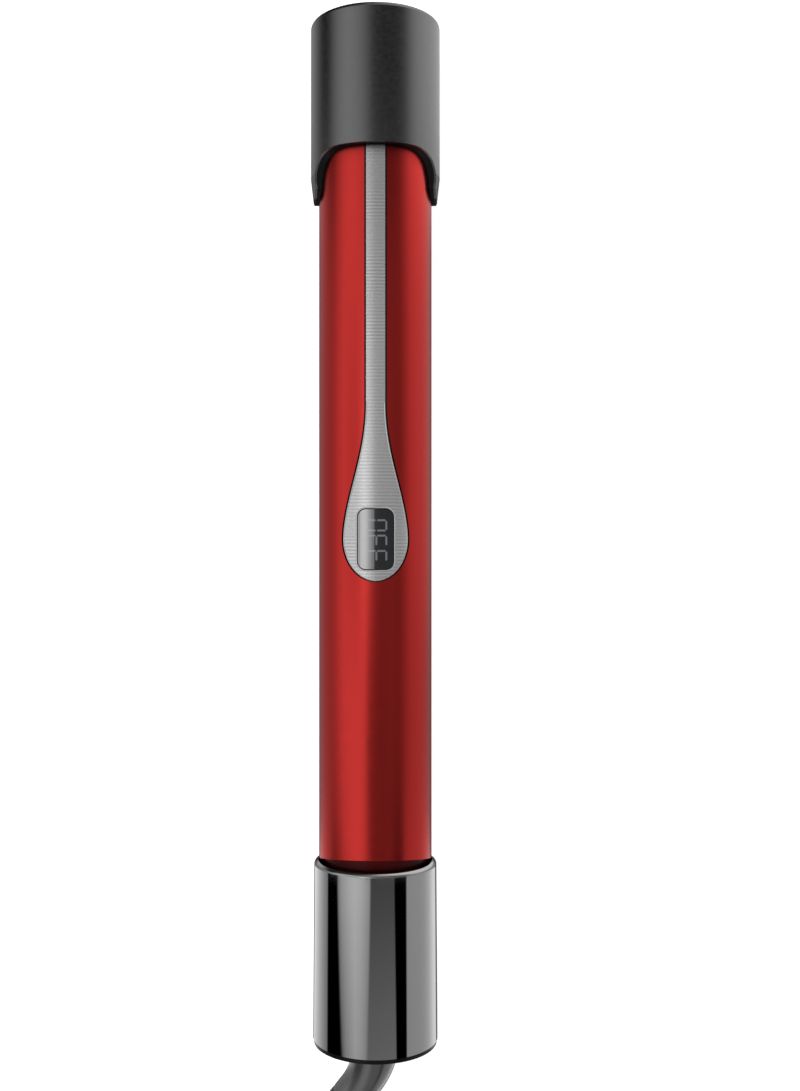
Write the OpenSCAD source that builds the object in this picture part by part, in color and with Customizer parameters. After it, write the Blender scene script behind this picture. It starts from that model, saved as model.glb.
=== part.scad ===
// Two-arm styling iron with a round barrel: straightening plates inside, a curling barrel outside.
// It lies closed on a table with its display up. +Y runs from the cord end to the tip, +Z is up,
// X is across. The origin is under the middle of the iron, on the table.

/* [Overall] */
// Length from the base cap to the tip
iron_l = 279.2; // [274:0.2:290]
// Diameter of the barrel
barrel_d = 31; // [30.8:0.1:31.2]
// Angle to which the upper arm opens
open_deg = 10; // [6:1:10]

/* [Cool tip] */
// Diameter of the two-part cool tip
tip_d = 35.5; // [35:0.1:36.5]
// Where the tip's mouth crosses the top of the barrel, from the base
mouth_s = 242.3; // [238:0.1:246]
// Where the tip's two side tongues end, from the base
tongue_s = 230.6; // [228:0.1:232]
// Radius of the mouth's corners, seen from the side
mouth_r = 9.3; // [8:0.1:10]
// Width of a side tongue, both halves together
tongue_w = 11.8; // [10:0.1:13]

/* [Collar and hinge] */
// Length from the base to the collar's rim
collar_l = 50; // [49:0.1:50.2]
// Diameter of the collar at its base
collar_d = 34.26; // [34:0.02:34.8]
// Diameter of the collar below its rim
collar_rim_d = 33.66; // [33.6:0.02:34]
// Where the hinge pin crosses, from the base
pin_s = 45.8; // [45:0.1:46]
// Diameter of the hinge pin
pin_d = 4; // [3.5:0.1:4.2]

/* [Inlay and display] */
// Width of the narrow part of the inlay
strip_w = 5.04; // [4:0.02:6]
// Width of the inlay around the display
drop_w = 17.14; // [16:0.02:18]
// Where the display's centre lies, from the base
display_s = 138; // [136:0.2:140]
// Where the inlay starts to widen, from the base
drop_end_s = 174; // [170:0.5:180]
// Length of the display window
window_l = 16; // [14:0.1:17]
// Width of the display window
window_w = 9.5; // [9:0.1:10]
// Width of the groove around the inlay
groove_w = 0.45; // [0.3:0.05:0.6]

/* [Plates and buttons] */
// Length of a heating plate
plate_l = 110; // [90:1:110]
// Width of a heating plate
plate_w = 22; // [20:0.5:22]
// How far a plate gives way on its cushions
plate_travel = 1; // [0.5:0.1:1]
// Distance between two buttons
button_pitch = 12; // [10:0.5:12]
// How far a button travels
button_travel = 0.5; // [0.3:0.05:0.5]

/* [Cord] */
// Diameter of the mains cord
cord_d = 5.6; // [5.2:0.1:5.8]
// Length of the boot along its bend
boot_l = 32; // [31.5:0.5:32.5]
// Diameter of the boot where it leaves the iron
boot_d = 13.5; // [13:0.1:13.8]
// Straight length of the hank's runs
hank_run = 84; // [80:1:88]

/* [Hidden] */
$fn = 96;
barrel_r = barrel_d / 2;
shell_ri = barrel_r - 1.2;      // inside of the shells
frame_ro = shell_ri - 0.1;      // outside of the arm frames
frame_ri = frame_ro - 1.2;      // inside of the arm frames
tip_r = tip_d / 2;
axis_z = tip_r;                 // the iron's axis above the table
half_gap = 0.3;                 // each arm stops this far from the middle plane
deck_z = 0.8;                   // the inner deck of each arm, from the middle plane
deck_t = 1.6;
plate_z = 0.2;                  // plate face, from the middle plane
plate_s = 158;                  // plate's end nearest to the hinge
cushion_z = 4.5 + 3 * plate_travel; // the ribs that the cushions push on
collar_ri = 15.7;
lip_h = 1.2;                    // black lip under the collar
spring_s = 53.4;                // the spring between the arms, just beyond the hinge
swivel_r = 7;                   // neck of the swivel
button_s = 104;                 // middle button
switch_z = 5.1;                 // the switches' plungers
screw_s = [64, 153];            // shell screws
tip_screw_s = iron_l - 6.7;
lead_x = 3.3;                   // wires to the heaters
lead_z = 9.8;
cord_r = cord_d / 2;
hank_base = 0.8;                // the hank rests on its tie
lane_1 = 3 * cord_d;            // bend radius of the inner turns
lane_2 = lane_1 + cord_d;       // and of the outer turns
hank_y = -66;                   // where the runs start, from the base
hank_top = hank_base + 3 * cord_d;
plug_x = -6;                    // the plug lies on the hank, its pins away from the iron
plug_y = hank_y - 44;           // the plug's cord end
plug_z = hank_top + 6.85;
plug_l = 36;
plug_w = 35.3;
plug_t = 13.7;
pin_pitch = 18.6;               // Europlug pins
pin_l = 19;
// The boot bends sideways, then the cord comes back into line with the iron.
boot_bend_r = 21.7;
boot_bend = 41;
// Points along the cord from the boot to the hank, and from the hank to the plug: across, along
// from the base, and above the table.
lead_route = [[-16.1, -26.7, 10.7], [-18.5, -29.9, 9.4], [-20.3, -33.5, 8.1],
    [-21.8, -38.3, 6.6], [-22.4, -43.6, 5.2], [-22.4, -50.2, 4.1], [-22.4, -57.2, 3.6],
    [-22.4, -66, 3.6]];
tail_route = [[12.8, -108, 17.6], [13.4, -97.5, 18.6], [14.8, -87, 19.5], [16.2, -76.5, 20.2],
    [16.8, -66, 20.4], [14.5, -57.6, 20.4], [8.4, -51.5, 20.4], [0, -49.2, 20.4],
    [-8.4, -51.5, 20.4], [-14.5, -57.6, 20.4], [-16.8, -66, 20.4], [-16.2, -72.3, 20.6],
    [-14.7, -78.6, 21.2], [-12.5, -84.9, 22], [-10.3, -91.1, 22.9], [-8.1, -97.4, 23.6],
    [-6.6, -103.7, 24.2], [-6, -110, 24.4]];

// ---- placing -------------------------------------------------------------------------------

// The iron's own frame: its axis along +Y from the base, its display side at +Z.
module place() { translate([0, -iron_l / 2, axis_z]) children(); }
// What lies on the table behind the base.
module behind() { translate([0, -iron_l / 2, 0]) children(); }
// Turns a shape that stands on Z so that it runs along the axis from s.
module along(s = 0) { translate([0, s, 0]) rotate([-90, 0, 0]) children(); }
// A side view outline (s, z), extruded across the iron from x0 to x1.
module across(x0, x1) { translate([x0, 0, 0]) rotate([90, 0, 90]) linear_extrude(x1 - x0) children(); }
// Everything more than gap above the middle plane.
module above(gap = half_gap) { translate([-40, -20, gap]) cube([80, iron_l + 60, 60]); }
// Makes the lower arm's part from an upper one.
module flip() { mirror([0, 0, 1]) children(); }
module tube(r, ri, s0, s1) {
    along(s0) difference() {
        cylinder(r = r, h = s1 - s0);
        translate([0, 0, -1]) cylinder(r = ri, h = s1 - s0 + 2);
    }
}
module rod(r, s0, s1) { along(s0) cylinder(r = r, h = s1 - s0); }
module upright(r, x, s, z0, z1) { translate([x, s, z0]) cylinder(r = r, h = z1 - z0); }
module box(x0, x1, s0, s1, z0, z1) { translate([x0, s0, z0]) cube([x1 - x0, s1 - s0, z1 - z0]); }
module rounded(w, l, r) {
    union() {
        square([w - 2 * r, l], center = true);
        square([w, l - 2 * r], center = true);
        for (x = [-1, 1], y = [-1, 1]) translate([x * (w / 2 - r), y * (l / 2 - r)]) circle(r);
    }
}

// ---- outlines ------------------------------------------------------------------------------

// Half width of the inlay at s, widened by g: a strip that swells into a drop.
function half_w(s) = s >= drop_end_s ? strip_w / 2 : strip_w / 2 + (drop_w - strip_w) / 4
    * (1 + cos(180 * pow((s - display_s) / (drop_end_s - display_s), 0.88)));
module inlay_outline(g = 0) {
    steps = 20;
    far = mouth_s + 4;
    flank = [for (i = [0:steps]) let (s = drop_end_s - (drop_end_s - display_s) * i / steps)
        [half_w(s) + g, s]];
    round_end = [for (a = [-9:-9:-171]) [(drop_w / 2 + g) * cos(a), display_s + (10.9 + g) * sin(a)]];
    polygon(concat([[strip_w / 2 + g, far + g]], flank, round_end,
        [for (i = [steps:-1:0]) [-flank[i][0], flank[i][1]]], [[-strip_w / 2 - g, far + g]]));
}
// What the tip covers, seen from the side: the crown, two side tongues and the hollow corners.
module tip_side() {
    z1 = tongue_w / 2 + mouth_r;
    corner = 4;
    translate([mouth_s, 0]) square([iron_l - mouth_s + 1, 30]);
    difference() {
        translate([mouth_s - mouth_r, 0]) square([mouth_r + 0.5, z1]);
        translate([mouth_s - mouth_r, z1]) circle(mouth_r);
    }
    translate([tongue_s + corner, 0]) square([mouth_s - mouth_r - tongue_s - corner + 0.5, tongue_w / 2]);
    translate([tongue_s, 0]) square([corner + 0.5, tongue_w / 2 - corner]);
    translate([tongue_s + corner, tongue_w / 2 - corner]) circle(corner);
}

// ---- base: collar, cap, hinge and the swivel's contacts ------------------------------------

module collar() {
    wall = collar_rim_d / 2 - collar_ri;
    color("#4a4a4d") place() along() rotate_extrude() union() {
        polygon([[collar_ri, lip_h], [collar_d / 2, lip_h], [collar_rim_d / 2, collar_l - wall],
            [collar_ri, collar_l - wall]]);
        intersection() {
            translate([collar_ri, collar_l - wall - 0.01]) circle(wall);
            translate([collar_ri, collar_l - wall - 0.01]) square(wall + 1);
        }
    }
}
module base_cap() {
    color("#161617") place() difference() {
        union() {
            rod(collar_d / 2 - 0.25, 0, lip_h);
            rod(collar_ri - 0.05, lip_h, 7);
        }
        rod(swivel_r + 0.3, -1, 8);
    }
}
module brush_holder() {
    color("#2b2b2d") place() difference() {
        rod(12.6, 7, 24);
        rod(11, 6, 22);
        for (x = [-lead_x, lead_x]) translate([x, 0, -lead_z + 4]) rod(1.2, 20, 26);
    }
}
module contact_brushes() {
    color("#c8a24a") place() for (s = [11, 16], m = [0, 1]) mirror([0, 0, m])
        box(-1.2, 1.2, s, s + 2.5, swivel_r + 0.35, 10.9);
}
module hinge_pin() {
    color("#b9bbbf") place() translate([-13.6, pin_s, 0]) rotate([0, 90, 0])
        cylinder(d = pin_d, h = 27.2);
}
// A wire swept along points, as one closed solid.
function unit(v) = v / norm(v);
function ahead(p, i) = unit(p[min(i + 1, len(p) - 1)] - p[max(i - 1, 0)]);
function ring(p, i, r, sides) = let (t = ahead(p, i), u = unit(cross(t, [0.02, 0.03, 1])), v = cross(t, u))
    [for (k = [0:sides - 1]) p[i] + r * (cos(360 * k / sides) * u + sin(360 * k / sides) * v)];
module sweep(p, radii, sides = 10) {
    last = len(p) - 1;
    pts = [for (i = [0:last]) each ring(p, i, radii[i], sides)];
    walls = [for (i = [0:last - 1], k = [0:sides - 1]) let (j = (k + 1) % sides)
        [i * sides + k, i * sides + j, (i + 1) * sides + j, (i + 1) * sides + k]];
    polyhedron(pts, concat([[for (k = [sides - 1:-1:0]) k]], walls,
        [[for (k = [0:sides - 1]) last * sides + k]]));
}
// Compression spring between the arms, just beyond the hinge.
module opening_spring() {
    turns = 6;
    wire = 0.4;
    z0 = -6 + wire;
    rise = 12 - 2 * wire;
    coil = [for (a = [0:22.5:360 * turns])
        [2.2 * cos(a), spring_s + 2.2 * sin(a), z0 + rise * a / (360 * turns)]];
    color("#a9abb0") place() sweep(coil, [for (c = coil) wire], 6);
}
module power_board() {
    color("#1f6b3a") place() union() {
        box(-7, 7, 74, 124, -10.4, -9.2);
        box(-3, 3, 78, 96, -9.2, -4.2);
        box(-4, 4, 102, 112, -9.2, -5.2);
    }
}

// ---- arms ----------------------------------------------------------------------------------

// Frame parts that both arms share, drawn for the upper arm.
module arm_frame(from) {
    plate_end = plate_s + plate_l;
    difference() {
        union() {
            intersection() {
                tube(frame_ro, frame_ri, from, iron_l - 3.4);
                above();
            }
            intersection() {
                union() {
                    box(-14, 14, 58, iron_l - 3.4, deck_z, deck_z + deck_t);
                    for (s = [plate_s + 8, plate_end - 8]) box(-14, 14, s - 2, s + 2, cushion_z, 14);
                }
                rod(frame_ri + 0.4, 40, iron_l - 3.4);
            }
        }
        // the plate's window
        box(-plate_w / 2 - 0.4, plate_w / 2 + 0.4, plate_s - 0.4, plate_end + 0.4, -1,
            deck_z + deck_t + 0.1);
        for (s = concat(screw_s, [tip_screw_s])) {
            upright(1.15, 0, s, 0, 4);
            upright(2.1, 0, s, 0, deck_z + 1.05);
            upright(2.55, 0, s, deck_z + deck_t, 20);
        }
        for (x = [-lead_x, lead_x]) translate([x, 0, lead_z]) rod(1.2, plate_s, plate_end);
    }
}
module arm_shell() {
    difference() {
        union() {
            intersection() {
                tube(barrel_r, shell_ri, 40, iron_l - 3.4);
                above();
            }
            for (s = screw_s) intersection() {
                upright(2.3, 0, s, deck_z + deck_t, 20);
                rod(shell_ri + 0.3, 40, iron_l);
            }
        }
        for (s = screw_s) upright(1.05, 0, s, 0, 9.5);
        upright(2.5, 0, tip_screw_s, 5, 20);
    }
}
module tip_half() {
    edge = 1.2;
    bore = barrel_r + 0.1;
    difference() {
        union() {
            intersection() {
                along() rotate_extrude() union() {
                    polygon([[bore, tongue_s - 1], [tip_r - 0.85, tongue_s - 1], [tip_r, tongue_s + 6.4],
                        [tip_r, iron_l - edge], [bore, iron_l - edge]]);
                    translate([0, iron_l - 3]) square([tip_r - edge, 3]);
                    translate([0, iron_l - 3]) square([tip_r, 3 - edge]);
                    translate([tip_r - edge, iron_l - edge]) circle(edge);
                }
                across(-20, 20) tip_side();
                above();
            }
            intersection() {
                upright(2.3, 0, tip_screw_s, deck_z + deck_t, 17);
                rod(bore + 0.3, 200, iron_l);
            }
        }
        upright(1.05, 0, tip_screw_s, 0, 9.5);
    }
}
module arm_screws() {
    for (s = concat(screw_s, [tip_screw_s])) difference() {
        union() {
            upright(1.95, 0, s, deck_z + 0.1, deck_z + 1);
            upright(1, 0, s, deck_z + 0.9, 9);
        }
        box(-1.4, 1.4, s - 0.25, s + 0.25, 0, deck_z + 0.5);
        box(-0.25, 0.25, s - 1.4, s + 1.4, 0, deck_z + 0.5);
    }
}
// A side view outline extruded across the iron, with the pin's hole.
module knuckle(x0, x1, hole) {
    across(x0, x1) difference() {
        children();
        translate([pin_s, 0]) circle(hole);
    }
}

module lower_frame() {
    color("#1c1c1e") place() difference() {
        union() {
            difference() {
                union() {
                    flip() arm_frame(9);
                    // seats that centre the collar
                    flip() intersection() {
                        union() {
                            tube(collar_ri - 0.15, frame_ri, 26, 29);
                            tube(collar_ri - 0.15, frame_ri, 33, 36);
                        }
                        above();
                    }
                    // seat of the opening spring
                    box(-11.2, 11.2, spring_s - 2.9, spring_s + 2.9, -8, -6.1);
                }
                // room for the upper arm's knuckles
                translate([-8.75, pin_s, 0]) rotate([0, 90, 0]) cylinder(r = 5.6, h = 17.5);
            }
            // two ears that hold the pin
            intersection() {
                for (x = [-13.2, 8.8]) knuckle(x, x + 4.4, pin_d / 2 + 0.03) union() {
                    translate([pin_s, 0]) circle(5);
                    translate([38, -12]) square([12, 12]);
                }
                rod(frame_ri + 0.4, 30, 60);
            }
        }
        translate([-14, pin_s, 0]) rotate([0, 90, 0]) cylinder(r = pin_d / 2 + 0.03, h = 28);
    }
}
module lower_shell() {
    color("#b3282b") place() difference() {
        flip() arm_shell();
        box(-20, 20, 30, collar_l + 0.4, -20, 5);
    }
}
module lower_tip_half() { color("#4b4c4e") place() flip() tip_half(); }
module lower_screws() { color("#8d8f93") place() flip() arm_screws(); }

module upper_frame() {
    color("#1c1c1e") place() difference() {
        union() {
            difference() {
                union() {
                    arm_frame(45);
                    // wall that ties the knuckles to the neck, and the spring's upper seat
                    intersection() {
                        union() {
                            box(-14, 14, 56, 58, half_gap, 14);
                            box(-8.4, 8.4, spring_s - 2.9, 56.5, 6.1, 8);
                        }
                        rod(frame_ri + 0.4, 40, 60);
                    }
                    // ledges for the control board
                    intersection() {
                        for (x = [-13, 6.2]) box(x, x + 6.8, 78, 150, lead_z - 1.6, lead_z - 0.6);
                        rod(frame_ri + 0.4, 70, 156);
                    }
                }
                // room for the lower frame's two ears
                for (x = [-20, 8.5]) translate([x, pin_s, 0]) rotate([0, 90, 0]) cylinder(r = 5.6, h = 11.5);
            }
            for (x = [-8.4, 3.6]) knuckle(x, x + 4.8, pin_d / 2 + 0.06) union() {
                translate([pin_s, 0]) circle(5);
                polygon([[pin_s, 0.3], [57, 0.3], [57, 8.5], [50, 8.5], [pin_s, 5]]);
            }
        }
        translate([-9, pin_s, 0]) rotate([0, 90, 0]) cylinder(r = pin_d / 2 + 0.06, h = 18);
        // button holes and the display's opening
        for (i = [-1:1]) upright(3.3, 0, button_s + i * button_pitch, 0, 5);
        translate([0, display_s, 11]) linear_extrude(6) square([12, 19.5], center = true);
    }
}
module upper_shell() {
    lean = tan(open_deg);
    color("#b3282b") place() difference() {
        arm_shell();
        // slanted end that meets the collar's rim, all round, when the arm is fully open
        across(-20, 20)
            polygon([[30, -1], [collar_l + 0.4 - lean, -1], [collar_l + 0.4 + 20 * lean, 20], [30, 20]]);
        difference() {
            linear_extrude(20) inlay_outline(groove_w);
            rod(barrel_r - 0.75, 100, iron_l);
        }
        translate([0, display_s, 5]) linear_extrude(15) rounded(window_w + 0.3, window_l + 0.3, 2.3);
    }
}
module upper_tip_half() { color("#4b4c4e") place() tip_half(); }
module upper_screws() { color("#8d8f93") place() arm_screws(); }
module inlay() {
    color("#a8a9ab") place() difference() {
        intersection() {
            linear_extrude(20) inlay_outline();
            tube(barrel_r, barrel_r - 0.7, 100, iron_l);
        }
        translate([0, display_s, 5]) linear_extrude(15) rounded(window_w + 0.1, window_l + 0.1, 2.25);
    }
}
module display_window() {
    color("#26282b") place() intersection() {
        tube(barrel_r, shell_ri - 0.4, 100, 180);
        translate([0, display_s, 5]) linear_extrude(15) rounded(window_w, window_l, 2.2);
    }
}
module display_module() {
    color("#e6e6e2") place() box(-4.4, 4.4, display_s - 8, display_s + 8, lead_z + 0.6, 13.2);
}
module control_board() {
    color("#1f6b3a") place() box(-7, 7, 79, 149, lead_z - 0.6, lead_z + 0.6);
}
module board_parts() {
    color("#222224") place() union() {
        box(-3, 3, 84, 90, lead_z + 0.6, lead_z + 1.8);
        box(-2.5, 2.5, 96, 102, lead_z + 0.6, lead_z + 2.2);
        box(-4.5, 4.5, 110, 118, lead_z + 0.6, lead_z + 1.7);
    }
}
module button_switches() {
    color("#3a3a3c") place() for (i = [-1:1]) union() {
        s = button_s + i * button_pitch;
        box(-3, 3, s - 3, s + 3, 5.7, lead_z - 0.6);
        upright(1.6, 0, s, switch_z, 5.8);
    }
}

// ---- plates, with their heaters and cushions ------------------------------------------------

module heating_plate() {
    w = plate_w / 2;
    e = plate_s + plate_l;
    union() {
        box(-w + 0.6, w - 0.6, plate_s, e, plate_z, plate_z + 1);
        box(-w, w, plate_s, e, plate_z + 0.6, 2.8);
        box(-w - 0.9, w + 0.9, plate_s - 0.9, e + 0.9, 2.7, 3.5);
    }
}
module heater() { box(-8, 8, plate_s + 20, plate_s + 90, 3.5, 5); }
module heater_clip() {
    union() {
        box(-9.4, 9.4, plate_s + 32, plate_s + 78, 5.05, 5.55);
        for (x = [-9.4, 8.8]) box(x, x + 0.6, plate_s + 32, plate_s + 78, 3.5, 5.1);
    }
}
module sensor() {
    union() {
        box(-2, 2, plate_s + 93, plate_s + 98, 3.5, 4.5);
        translate([0, 0, 4.9]) rod(0.9, plate_s + 93.5, plate_s + 97.5);
    }
}
module cushions() {
    for (x = [-7, 7], s = [plate_s + 8, plate_s + plate_l - 8]) upright(2.4, x, s, 3.5, cushion_z);
}
module leads(from) {
    for (x = [-lead_x, lead_x]) translate([x, 0, lead_z]) rod(0.75, from, plate_s + 19);
}
module upper_plate() { color("#8f8a86") place() heating_plate(); }
module upper_heater() { color("#e8e4da") place() heater(); }
module upper_heater_clip() { color("#b4b6ba") place() heater_clip(); }
module upper_sensor() { color("#c9772e") place() sensor(); }
module upper_cushions() { color("#b5523a") place() cushions(); }
module upper_leads() { color("#d8d8d4") place() leads(149.5); }
module lower_plate() { color("#8f8a86") place() flip() heating_plate(); }
module lower_heater() { color("#e8e4da") place() flip() heater(); }
module lower_heater_clip() { color("#b4b6ba") place() flip() heater_clip(); }
module lower_sensor() { color("#c9772e") place() flip() sensor(); }
module lower_cushions() { color("#b5523a") place() flip() cushions(); }
module lower_leads() { color("#d8d8d4") place() flip() leads(125); }

// ---- buttons on the upper arm's inner deck --------------------------------------------------

module button(i) {
    s = button_s + i * button_pitch;
    union() {
        upright(3, 0, s, deck_z - 0.2, 3.5);
        upright(3.8, 0, s, 2.7, 3.5);
        upright(1.5, 0, s, 3.4, switch_z - 0.3 - button_travel);
    }
}
module power_button() { color("#2d2d30") place() button(1); }
module plus_button() { color("#2d2d30") place() button(0); }
module minus_button() { color("#2d2d30") place() button(-1); }

// ---- swivel, cord and plug ------------------------------------------------------------------

module swivel_drum() {
    color("#242426") place() union() {
        rod(swivel_r, 0, 7.4);
        rod(9.5, 7.3, 9.3);
        rod(5.5, 9.2, 21);
    }
}
module slip_rings() {
    color("#c8a24a") place() for (s = [10.8, 15.8]) tube(swivel_r, 5.5, s, s + 2.9);
}
// The boot's centre line: an arc to the side, then straight, while it sinks to the table.
function ease(t) = t * t * (3 - 2 * t);
function boot_point(p) = let (a = min(p / boot_bend_r * 180 / PI, boot_bend),
    rest = max(0, p - boot_bend_r * boot_bend * PI / 180))
    [-boot_bend_r * (1 - cos(a)) - rest * sin(boot_bend),
     -boot_bend_r * sin(a) - rest * cos(boot_bend),
     axis_z - (axis_z - hank_base - cord_r) * ease(p / boot_l / 2)];
module cord_boot() {
    n = 12;
    thin_r = 3.5;
    color("#58595c") behind() sweep([for (i = [0:n]) boot_point(i * boot_l / n)],
        [for (i = [0:n]) boot_d / 2 + (thin_r - boot_d / 2) * i / n], 20);
}
module cord_lead() {
    route = concat([boot_point(boot_l)], [for (i = [1:len(lead_route) - 1]) lead_route[i]]);
    color("#3c3d3f") behind() sweep(route, [for (p = route) cord_r], 12);
}
module oval(r) {
    union() {
        translate([-r, hank_y - hank_run]) square([2 * r, hank_run]);
        for (y = [hank_y, hank_y - hank_run]) translate([0, y]) circle(r);
    }
}
module cord_hank() {
    color("#3c3d3f") behind() difference() {
        translate([0, 0, hank_base]) linear_extrude(3 * cord_d) oval(lane_2 + cord_r);
        linear_extrude(40) oval(lane_1 - cord_r);
    }
}
module cord_tail() { color("#3c3d3f") behind() sweep(tail_route, [for (p = tail_route) cord_r], 12); }
module cord_tie() {
    w = lane_2 + cord_r;
    y = hank_y - 12;
    top = hank_top + 6.5; // it passes over the last turn, which lies on the others
    color("#202022") behind() translate([0, y + 4, 0]) rotate([90, 0, 0]) linear_extrude(8) difference() {
        polygon([[-w - 0.8, 0], [w + 0.8, 0], [w + 0.8, hank_top + 0.8], [17.4, top + 0.8],
            [-16.6, top + 0.8], [-w - 0.8, hank_top + 0.8]]);
        polygon([[-w - 0.1, 0.7], [w + 0.1, 0.7], [w + 0.1, hank_top + 0.1], [17, top],
            [-16.2, top], [-w - 0.1, hank_top + 0.1]]);
    }
}
// A slice of the plug, as thick as t, that ends at y.
module slice(y, t) { translate([0, y, 0]) rotate([90, 0, 0]) linear_extrude(t) children(); }
// Flat two-pin plug, its corners rounded, tapering to the cord.
module plug_body() {
    color("#2c2d2f") behind() translate([plug_x, plug_y, plug_z]) rotate([0, 0, 180]) union() {
        hull() {
            slice(plug_l, 4) rounded(plug_w, plug_t, 6.2, $fn = 32);
            slice(plug_l - 12, 1) rounded(plug_w - 3, plug_t, 6.2, $fn = 32);
            slice(11, 1) rounded(13, 11, 5, $fn = 32);
        }
        hull() {
            slice(12, 1) circle(d = 10, $fn = 32);
            slice(0.5, 0.5) circle(d = 7, $fn = 32);
        }
    }
}
module plug_pins() {
    color("#c9cacc") behind() for (x = [-1, 1])
        translate([plug_x + x * pin_pitch / 2, plug_y - plug_l, plug_z]) rotate([90, 0, 0]) union() {
            cylinder(d = 4, h = pin_l - 1);
            translate([0, 0, pin_l - 1]) cylinder(d1 = 4, d2 = 2.4, h = 1);
        }
}

collar();
base_cap();
brush_holder();
contact_brushes();
hinge_pin();
opening_spring();
lower_frame();
lower_shell();
lower_tip_half();
lower_screws();
power_board();
lower_leads();
lower_cushions();
lower_plate();
lower_heater();
lower_heater_clip();
lower_sensor();
upper_frame();
upper_shell();
upper_tip_half();
upper_screws();
inlay();
display_window();
display_module();
control_board();
board_parts();
button_switches();
upper_leads();
upper_cushions();
upper_plate();
upper_heater();
upper_heater_clip();
upper_sensor();
power_button();
plus_button();
minus_button();
swivel_drum();
slip_rings();
cord_boot();
cord_lead();
cord_hank();
cord_tail();
cord_tie();
plug_body();
plug_pins();
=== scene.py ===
"""A round-barrel hair styling iron, closed, seen from straight above its display on a white table."""
import math

import bmesh
import bpy
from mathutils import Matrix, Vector


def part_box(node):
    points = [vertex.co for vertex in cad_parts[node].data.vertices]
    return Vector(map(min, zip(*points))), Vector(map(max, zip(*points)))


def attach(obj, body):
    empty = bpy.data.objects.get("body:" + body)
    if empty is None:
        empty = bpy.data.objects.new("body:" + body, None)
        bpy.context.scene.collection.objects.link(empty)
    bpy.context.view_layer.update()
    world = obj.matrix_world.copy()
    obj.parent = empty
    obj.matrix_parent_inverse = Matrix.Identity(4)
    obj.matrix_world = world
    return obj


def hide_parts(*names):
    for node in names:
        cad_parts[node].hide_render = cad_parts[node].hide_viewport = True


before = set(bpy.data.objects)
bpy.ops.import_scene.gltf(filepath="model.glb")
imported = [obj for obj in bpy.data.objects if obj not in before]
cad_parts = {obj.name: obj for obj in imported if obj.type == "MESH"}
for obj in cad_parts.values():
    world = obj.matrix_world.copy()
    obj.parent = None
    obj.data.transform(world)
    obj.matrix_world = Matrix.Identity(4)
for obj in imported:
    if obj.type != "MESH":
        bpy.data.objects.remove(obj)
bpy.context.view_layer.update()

MM = 0.001

# ---- places, from the frame --------------------------------------------------------------------

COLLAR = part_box("collar")
BASE_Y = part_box("base_cap")[0].y
AXIS_Z = (COLLAR[0].z + COLLAR[1].z) / 2
BARREL_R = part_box("inlay")[1].z - AXIS_Z
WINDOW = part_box("display_window")
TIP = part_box("upper_tip_half")
TIP_R = TIP[1].z - AXIS_Z
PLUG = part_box("plug_body")
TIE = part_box("cord_tie")


def at(x, s, z):
    """A point of the iron: x across, s along from its base, z above its axis, in millimetres."""
    return Vector((x * MM, BASE_Y + s * MM, AXIS_Z + z * MM))


def behind(x, y, z):
    """A point of the cord: x across, y along from the iron's base, z above the table, in millimetres."""
    return Vector((x * MM, BASE_Y + y * MM, z * MM))


def ease(t):
    return t * t * (3 - 2 * t)


# ---- camera ------------------------------------------------------------------------------------

def make_camera():
    data = bpy.data.cameras.new("camera")
    data.sensor_width = 36
    data.lens = 42.05
    data.shift_x = 0.0286                 # the iron lies left of the picture's middle
    data.clip_start = 0.01
    data.clip_end = 20
    camera = bpy.data.objects.new("camera", data)
    camera.location = (-0.0018, -0.00326, 0.3693)
    bpy.context.scene.collection.objects.link(camera)
    bpy.context.scene.camera = camera


# ---- making pieces -----------------------------------------------------------------------------

def finish_piece(obj, body, material, replaced=()):
    """Links a new object, gives it its material, hangs it on its body's empty and hides the CAD parts it
    replaces.
    """
    bpy.context.scene.collection.objects.link(obj)
    obj.data.materials.append(material)
    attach(obj, body)
    if replaced:
        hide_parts(*replaced)
    return obj


def mesh_object(name, points, faces, smooth=True, sharp_deg=40):
    mesh = bpy.data.meshes.new(name)
    mesh.from_pydata(points, [], faces)
    bm = bmesh.new()
    bm.from_mesh(mesh)
    bmesh.ops.recalc_face_normals(bm, faces=bm.faces)
    bm.to_mesh(mesh)
    bm.free()
    if smooth:
        mesh.shade_smooth()
        mesh.set_sharp_from_angle(angle=math.radians(sharp_deg))
    return bpy.data.objects.new(name, mesh)


def loft(name, rings, sharp_deg=40):
    """A closed skin through rings that all have the same number of points."""
    sides = len(rings[0])
    points = [p for ring in rings for p in ring]
    faces = []
    for i in range(len(rings) - 1):
        for k in range(sides):
            j = (k + 1) % sides
            faces.append((i * sides + k, i * sides + j, (i + 1) * sides + j, (i + 1) * sides + k))
    faces.append(tuple(range(sides)))
    faces.append(tuple(range((len(rings) - 1) * sides, len(rings) * sides)))
    return mesh_object(name, points, faces, sharp_deg=sharp_deg)


def tube_rings(centres, radii, sides=40):
    """Rings round a centre line, one per point."""
    rings = []
    for i, c in enumerate(centres):
        ahead = (centres[min(i + 1, len(centres) - 1)] - centres[max(i - 1, 0)]).normalized()
        u = ahead.cross(Vector((0.02, 0.03, 1))).normalized()
        v = ahead.cross(u)
        turn = [2 * math.pi * k / sides for k in range(sides)]
        rings.append([c + radii[i] * (math.cos(a) * u + math.sin(a) * v) for a in turn])
    return rings


def curve_object(name, points, radius, resolution=6, closed=False):
    data = bpy.data.curves.new(name, "CURVE")
    data.dimensions = "3D"
    data.bevel_depth = radius
    data.bevel_resolution = resolution
    data.use_fill_caps = True
    spline = data.splines.new("POLY")
    spline.points.add(len(points) - 1)
    for p, co in zip(spline.points, points):
        p.co = (*co, 1)
    spline.use_cyclic_u = closed
    spline.use_smooth = True
    return bpy.data.objects.new(name, data)


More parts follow.
